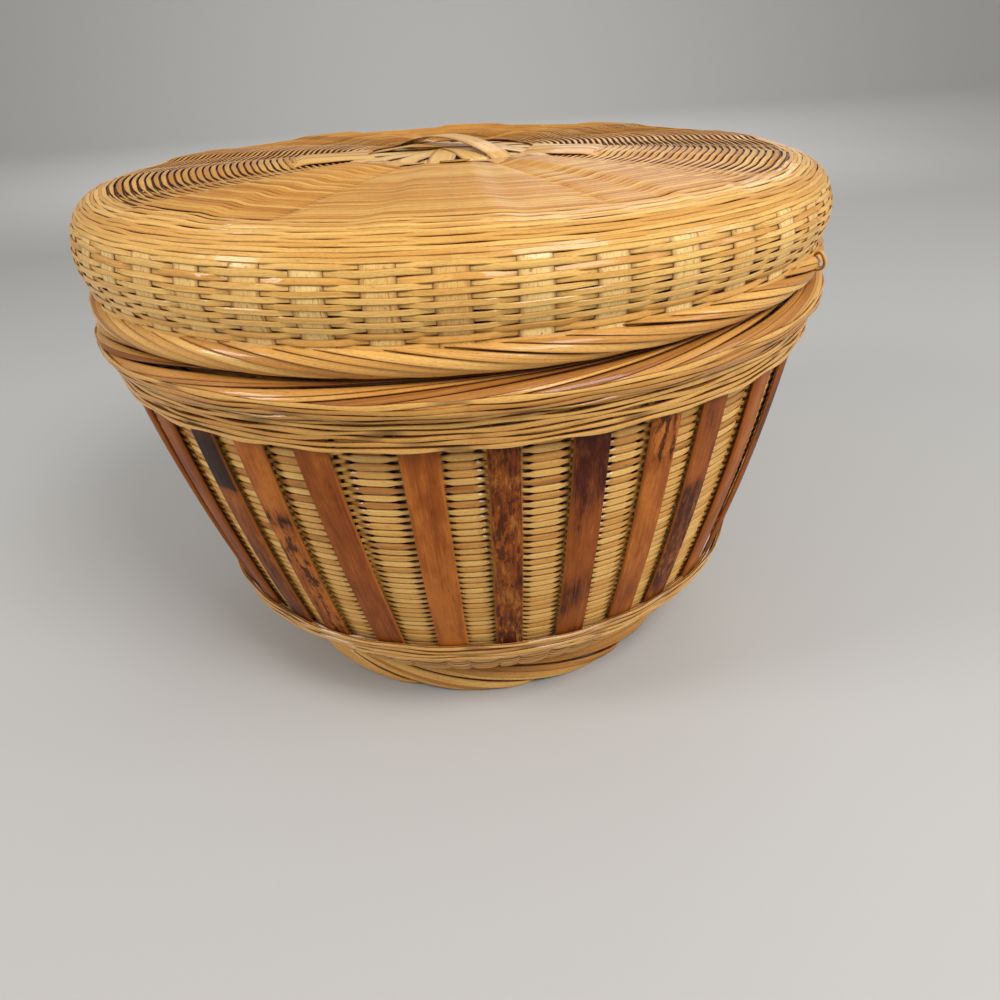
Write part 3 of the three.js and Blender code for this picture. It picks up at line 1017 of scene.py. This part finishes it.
# One strip's end has sprung out of the border at the right, and stands off in a small loop.
sprung = Strips(1, 30, corners=8).squared(0.55)
sprung_turn = np.radians(-170 + 330 * sprung.along)
sprung_pinch = 1 - 0.35 * np.sin(sprung_turn)
sprung_r = 168.0 + (2.5 + sprung.out * 0.7) * np.cos(sprung_turn) * sprung_pinch
sprung_h = 197.0 + (3.2 + sprung.out * 0.7) * np.sin(sprung_turn)
sprung_bearing = math.radians(58) + sprung.along * 0.02 + sprung.across * 1.8 / 170
sprung_places = places_round(sprung_bearing, sprung_r, sprung_h)
sprung_end = sprung.laid("sprung_strip_end", sprung_places, 26, 0.05, 0, border_finish)
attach(sprung_end, "lid")


# Lid stakes: forty-four flat splints, about three to each arm of the crown. Under the weft of the
# top they lie in bundles that raise it in ten low ridges. Then they spread evenly, and run down
# the side into the border.
lid_foot = 189.3
lid_radius = 170
lid_weave_foot = (166.9, 198.4)
lid_side_foot = (166.8, 202.6)
lid_side_end = (168.6, 222.3)
lid_widest_rise = 25
lid_shoulder_peak = (166.4, 234.3)
lid_top_edge = (150, 236.3)
lid_top_swell = (94.25, 239.3)
crown_radius = 38.5
crown_edge = (crown_radius, 239.3)
lid_side_points = 30
lid_shoulder_points = 40
lid_top_points = 60

lid_side_pull = (
    2 * lid_radius - (lid_side_foot[0] + lid_side_end[0]) / 2,
    lid_foot + lid_widest_rise,
)
lid_curve = np.concatenate(
    (
        [lid_weave_foot],
        drawn_curve(lid_side_points, lid_side_foot, lid_side_pull, lid_side_end)[:-1],
        drawn_curve(lid_shoulder_points, lid_side_end, lid_shoulder_peak, lid_top_edge)[:-1],
        drawn_curve(lid_top_points, lid_top_edge, lid_top_swell, crown_edge),
    )
)
lid_side = Outline(*lid_curve.T)
shoulder_distance = lid_side.distance[lid_side_points + lid_shoulder_points - 1]

lid_stake_count = 44
front_lid_stakes = [-55.1, -47.5, -39.6, -31.9, -23.8, -16.4, -8.6, -1, 7.8, 16.4, 25.5, 34.5, 43.6]
lid_stakes_at = filled_round(front_lid_stakes, lid_stake_count)
lid_stake_thickness = 0.4
lid_stake_width = 11.8
ridge_count = 10
hollows_at = filled_round([-61, -22.5, 19.5, 49.5], ridge_count)
ridge_top = 0.8
ridge_foot = -0.45
ridge_start_run = 25
ridge_end_run = 30
crown_dip = 1.6
crown_dip_run = 18
front_cosines = (0.3, 0.8)
lean_side_to_side = 3.3
lean_to_the_right = 0.7


def lid_ridge(bearing):
    """Which ridge of the top a bearing is at, with the hollows half way between two of them."""
    return count_round(bearing, hollows_at) + 0.5


def lid_swell(bearing, distance):
    """How far bundles of stakes raise the lid in ridges, less how far it dips by the crown."""
    radius = np.interp(distance, lid_side.distance, lid_side.radius)
    start = smooth(radius, crown_radius - 1, crown_radius + ridge_start_run)
    end = 1 - smooth(radius, lid_radius - ridge_end_run, lid_radius)
    ridge = lid_ridge(bearing)
    off_ridge = np.abs(ridge - np.round(ridge)) * full_turn / ridge_count * radius
    half_bundle = np.interp(radius, (50, 120, 150), (8.5, 11.5, 17))
    on_bundle = 1 - smooth(off_ridge, half_bundle - 2, half_bundle + 7)
    ridges = (ridge_foot + (ridge_top - ridge_foot) * on_bundle) * start * end
    near_crown = 1 - smooth(radius, crown_radius, crown_radius + crown_dip_run)
    return ridges - crown_dip * near_crown * smooth(np.cos(bearing), *front_cosines)


def on_the_lid(bearing, radius, height):
    """Points on the lid, whose top has settled: a little high at the left, low at the right."""
    across = radius * np.sin(bearing) / lid_radius
    up = np.clip((height - lid_side_foot[1]) / (lid_top_edge[1] - lid_side_foot[1]), 0, 1)
    settled = (lean_side_to_side * across + lean_to_the_right * across**2) * up
    return places_round(bearing, radius, height - settled)


bundles_from = 29
bundle_depth = 0.7
lid_stakes = Strips(lid_stake_count, 110, corners=8).squared(0.45)
lid_run = lid_stakes.along * (lid_side.length + 1) - 1
stake_r = np.interp(lid_run, lid_side.distance, lid_side.radius)
stake_room = full_turn * stake_r / lid_stake_count * 0.96
stake_width = np.minimum(lid_stake_width, stake_room)
stake_turn = lid_stakes_at[lid_stakes.strip] - lid_stakes.across * stake_width / 2 / stake_r
stake_depth = weave_thickness / 2 - lid_stakes.out * lid_stake_thickness / 2
stake_depth = stake_depth - lid_swell(stake_turn, lid_run)
stake_depth = stake_depth + bundle_depth * smooth(lid_run, bundles_from - 0.5, bundles_from + 2)
stake_places = on_the_lid(stake_turn, *lid_side.at(lid_run, stake_depth))
stake_tone = lid_stakes.shades(111, 0, 0.5)
# Painted shade on the stakes from where they lie in bundles under the weft of the top, so that they
# look dark in the gaps between the strips.
stake_sunk = smooth(lid_run, bundles_from + 1, bundles_from + 3)
lid_stake_strips = lid_stakes.laid(
    "lid_stakes", stake_places, lid_side.length, stake_tone, stake_sunk, splint_finish
)
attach(lid_stake_strips, "lid")


# Lid weft: strips woven round and round from the border up the side, over the shoulder and in
# to the crown. Low on the side they go round single stakes. Further up each goes over a whole
# bundle and under the next, so that it shows from one hollow to the next and hides after it.
def lid_wave(first, distances):
    """The lid's weave. It goes round single stakes low on the side and round bundles on the top.
    Over the shoulder between them all the strips lie nearly flat, side by side."""

    def wave(bearing, ring):
        distance = distances[ring]
        blend = smooth(distance, bundles_from - 1.5, bundles_from + 2.5)
        slack = blend * (1 - smooth(distance, shoulder_distance - 3, shoulder_distance + 4))
        single = over_and_under(count_round(bearing, lid_stakes_at), ring + first, firmness=3)
        firmness = 1.5 + 2.5 * smooth(np.cos(bearing), 0.72, 0.94)
        bundle = over_and_under(lid_ridge(bearing), ring + first, firmness)
        return (single * (1 - blend) + bundle * blend) * (1 - slack) + 0.35 * single * slack

    return wave


def tucked_tips(lift, bearing):
    """Strips that narrow where they go behind a stake."""
    return 1 - 0.12 * smooth(-lift, 0.9, 0.99)


closest_weave_at = math.radians(12)
closest_weave_end = 26
slack_weave_start = 48


def at_the_sides(bearing):
    """1 where the lid's strips are slack enough to show dark gaps between them, 0 in front."""
    degrees_off = np.degrees(np.arccos(np.cos(bearing - closest_weave_at)))
    return smooth(degrees_off, closest_weave_end, slack_weave_start)


def side_by_side(lift, bearing):
    """Strips that lie close over a bundle, and narrow where they cross in a hollow."""
    slack = at_the_sides(bearing)
    crossing = smooth(-lift, -0.85 - 0.15 * slack, 0.2 - 0.65 * slack)
    return (0.93 - 0.15 * slack) * (1 - 0.55 * crossing)


side_pitch = 2.1
shoulder_pitch = 1.85
outer_pitch = 1.5
inner_pitch = 1.4
side_fullness = 1.1
top_fullness = 1.98
low_rings = np.arange(0.9, bundles_from, side_pitch)
shoulder_rings = np.arange(bundles_from + 1.2, shoulder_distance - 1, shoulder_pitch)
side_rings = np.concatenate((low_rings, shoulder_rings))
top_run = lid_side.length - 0.6 - side_rings[-1]
top_ring_count = round(top_run / ((outer_pitch + inner_pitch) / 2))
top_share = np.arange(1, top_ring_count + 1) / top_ring_count
top_steps = outer_pitch + (inner_pitch - outer_pitch) * top_share
top_rings = side_rings[-1] + np.cumsum(top_steps) * top_run / top_steps.sum()
top_ring_widths = np.gradient(top_rings) * top_fullness
lid_side_weft = woven_rings(
    "lid_side_weft",
    lid_side,
    side_rings,
    np.gradient(side_rings) * side_fullness,
    lid_wave(0, side_rings),
    stations=440,
    seed=121,
    swing=0.45,
    thickness=0.6,
    narrowing=tucked_tips,
    sunk_range=(0.9, 1.05),
    loose_share=0.3,
    tone_spread=0.6,
    relief=lid_swell,
    place=on_the_lid,
)
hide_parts("lid_side_weave")
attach(lid_side_weft, "lid")

lid_top_dyes = [dye(216, 166, 86), dye(196, 134, 54), dye(142, 76, 18), dye(88, 42, 12)]
lid_top_finish = split_bamboo(
    "lid_top_weft_strips",
    lid_top_dyes,
    roughness=0.34,
    fibres_across=3,
    fibre_share=0.5,
    edge_share=0.6,
    varnish=0.2,
)
middle_ring = len(top_rings) // 2
for part, (first, last) in enumerate(((0, middle_ring), (middle_ring, len(top_rings)))):
    lid_top_weft = woven_rings(
        f"lid_top_weft_{part + 1}",
        lid_side,
        top_rings[first:last],
        top_ring_widths[first:last],
        lid_wave(len(side_rings) + first, top_rings[first:last]),
        stations=360,
        seed=122 + 9 * part,
        swing=0.5,
        thickness=0.6,
        narrowing=side_by_side,
        shingle=-0.12,
        relief=lid_swell,
        place=on_the_lid,
        tone_spread=0.8,
        finish=lid_top_finish,
        loose_share=0.08,
        # Painted shade along the strips' edges, stronger at the sides where they lie slack.
        edge_lines=lambda bearing: 0.62 + 0.25 * at_the_sides(bearing),
    )
    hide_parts("lid_top_weave")
    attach(lid_top_weft, "lid")


# Crown: seven flat pale splints that cross at the middle of the lid, each bowed over the ones
# beneath. Their arms go in under the first turns of the weft.
crown_splint_width = 11.8
crown_splint_thickness = 0.5
crown_first_bearing = math.radians(95)
crown_end_height = 237.5
crown_level_step = 0.45
crown_half_length = 37.3
crown_tuck = 9
crown_levels = [0, 1, 2, 3, 4, 6, 5]
topmost_arch = 6.4
topmost_slant = math.radians(7)

for number, level in enumerate(crown_levels):
    splint = Strips(1, 40, corners=12).squared(0.4)
    reach = (2 * splint.along - 1) * (crown_half_length + crown_tuck)
    inner = np.clip(np.abs(reach) / crown_half_length, 0, 1)
    bow = level * crown_level_step * (1 - smooth(inner, 0.45, 1))
    bearing = crown_first_bearing + math.pi * number / len(crown_levels)
    if level == max(crown_levels):
        bow = topmost_arch * (1 - inner**2)
        bearing = bearing - topmost_slant
    front_end = smooth(np.sign(reach) * math.cos(bearing), *front_cosines)
    going_under = smooth(np.abs(reach), crown_half_length - 5, crown_half_length + 5)
    lean = lean_side_to_side * reach * math.sin(bearing) / lid_radius
    dip = (0.7 + 1.3 * front_end) * going_under + lean
    height = crown_end_height + bow - dip + (splint.out + 1) * crown_splint_thickness / 2
    places = places_round(bearing, reach, height, side=splint.across * crown_splint_width / 2)
    name = f"crown_splint_strip_{number + 1}"
    piece = splint.laid(name, places, 90, 0.3 + 0.06 * level, 0, splint_finish)
    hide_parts(f"crown_splint_{number + 1}")
    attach(piece, "lid")

# Under the splints, more stakes fill the gaps between their arms, but for two gaps in front.
filler_bearings = np.radians([-72.2, -46.4, -17.5] + [56.5 + 25.72 * n for n in range(9)])
filler_half_width = 4.6
fillers = Strips(len(filler_bearings), 16, corners=8).squared(0.45)
filler_bearing = filler_bearings[fillers.strip]
filler_reach = 8 + 40 * fillers.along
filler_dip = 0.2 + 1.4 * smooth(np.cos(filler_bearing), *front_cosines)
filler_dip = filler_dip * smooth(filler_reach, 30, 44)
filler_lean = lean_side_to_side * filler_reach * np.sin(filler_bearing) / lid_radius
filler_height = crown_end_height - filler_dip - filler_lean
filler_height = filler_height + (fillers.out - 1) * crown_splint_thickness / 2
filler_side = fillers.across * filler_half_width
filler_places = places_round(filler_bearing, filler_reach, filler_height, filler_side)
filler_tone = fillers.shades(131, 0, 0.4)
crown_fillers = fillers.laid(
    "crown_filler_stakes", filler_places, 40, filler_tone, 0, splint_finish
)
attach(crown_fillers, "lid")

# On the front half four bundles of three stakes come out over the first turns of the weft and
# go under them further out, the two outer ones last.
half_way_on = (hollows_at[4] - hollows_at[3]) / 2
front_ridges = (hollows_at[:3] + hollows_at[1:4]) / 2
arm_bearings = np.array(
    [hollows_at[0] - half_way_on, front_ridges[0], front_ridges[2], hollows_at[3] + half_way_on]
)
arm_ends = np.array([76, 56, 58, 76])
arm_start = 26
arm_stake_pitch = 10.4
arm_stake_half_width = 5.0
arm_stakes = Strips(3 * len(arm_bearings), 30, corners=8).squared(0.45)
arm = arm_stakes.strip // 3
arm_reach = arm_start + (arm_ends[arm] - arm_start) * arm_stakes.along
arm_side = (arm_stakes.strip % 3 - 1) * arm_stake_pitch + arm_stakes.across * arm_stake_half_width
arm_turn = arm_bearings[arm] - np.arctan2(arm_side, arm_reach)
arm_run = np.interp(-np.hypot(arm_reach, arm_side), -lid_side.radius, lid_side.distance)
arm_dive = 0.8 * (1 - smooth(arm_reach, arm_start, arm_start + 10))
arm_dive = arm_dive + 1.3 * smooth(arm_reach - arm_ends[arm], -10, -1)
arm_depth = 0.35 - arm_stakes.out * 0.25 + arm_dive - lid_swell(arm_turn, arm_run)
arm_places = on_the_lid(arm_turn, *lid_side.at(arm_run, arm_depth))
arm_tone = arm_stakes.shades(132, 0.1, 0.5)
arms = arm_stakes.laid("crown_arm_stakes", arm_places, 50, arm_tone, 0, weft_finish)
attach(arms, "lid")

# The cut end of an added stake lies on the first turns of the weft, in front of the crown.
added_stake = Strips(1, 10, corners=12).squared(0.4)
added_reach = 36.5 + 19 * added_stake.along
added_turn = math.radians(1.5) - added_stake.across * 6.2 / added_reach
added_run = np.interp(-added_reach, -lid_side.radius, lid_side.distance)
added_height = 239.4 + lid_swell(added_turn, added_run) + added_stake.out * 0.3
added_places = places_round(added_turn, added_reach, added_height)
added_stake_end = added_stake.laid("added_stake_end", added_places, 19, 0.7, 0.1, splint_finish)
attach(added_stake_end, "lid")
